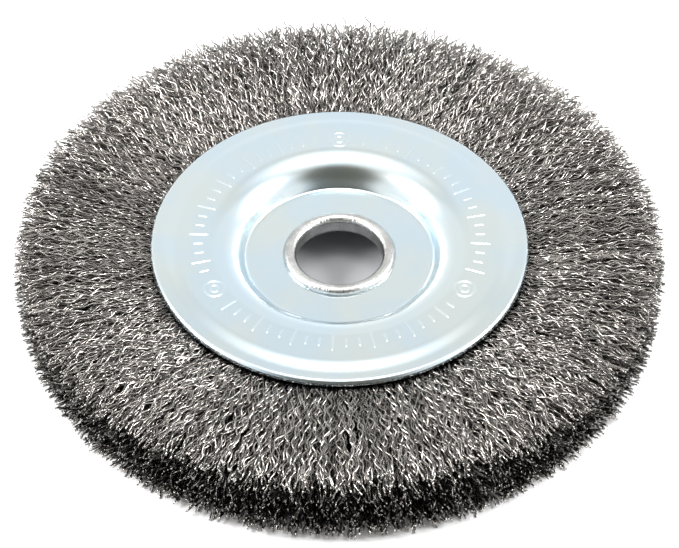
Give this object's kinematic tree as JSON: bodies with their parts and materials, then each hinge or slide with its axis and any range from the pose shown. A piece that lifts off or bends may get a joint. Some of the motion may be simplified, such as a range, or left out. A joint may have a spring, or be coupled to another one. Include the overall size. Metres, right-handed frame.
{
  "type": "crimped wire wheel brush",
  "caption": "Crimped steel wire wheel brush with dished zinc-plated side plates and a plain round arbor hole, for a bench grinder.",
  "frame": {"origin": "centre of the wheel, on the arbor axis and halfway between the two side plates", "axes": "+Z along the arbor axis, out of the front side plate; the wheel lies flat in XY and is the same all round"},
  "size_m": [0.15, 0.15, 0.019],
  "materials": {
    "zinc_plate": "satin",
    "eyelet_steel": "satin",
    "ring_steel": "satin",
    "brush_wire": "satin"
  },
  "bodies": {
    "root": {"front_side_plate": "zinc_plate", "rear_side_plate": "zinc_plate", "arbor_eyelet": "eyelet_steel", "core_ring": "ring_steel", "wire_bundle_01": "brush_wire", "wire_bundle_02": "brush_wire", "wire_bundle_03": "brush_wire", "wire_bundle_04": "brush_wire", "wire_bundle_05": "brush_wire", "wire_bundle_06": "brush_wire", "wire_bundle_07": "brush_wire", "wire_bundle_08": "brush_wire", "wire_bundle_09": "brush_wire", "wire_bundle_10": "brush_wire", "wire_bundle_11": "brush_wire", "wire_bundle_12": "brush_wire", "wire_bundle_13": "brush_wire", "wire_bundle_14": "brush_wire", "wire_bundle_15": "brush_wire", "wire_bundle_16": "brush_wire", "wire_bundle_17": "brush_wire", "wire_bundle_18": "brush_wire", "wire_bundle_19": "brush_wire", "wire_bundle_20": "brush_wire", "wire_bundle_21": "brush_wire", "wire_bundle_22": "brush_wire", "wire_bundle_23": "brush_wire", "wire_bundle_24": "brush_wire", "wire_bundle_25": "brush_wire", "wire_bundle_26": "brush_wire", "wire_bundle_27": "brush_wire", "wire_bundle_28": "brush_wire", "wire_bundle_29": "brush_wire", "wire_bundle_30": "brush_wire", "wire_bundle_31": "brush_wire", "wire_bundle_32": "brush_wire", "wire_bundle_33": "brush_wire", "wire_bundle_34": "brush_wire", "wire_bundle_35": "brush_wire", "wire_bundle_36": "brush_wire"}
  },
  "joints": []
}
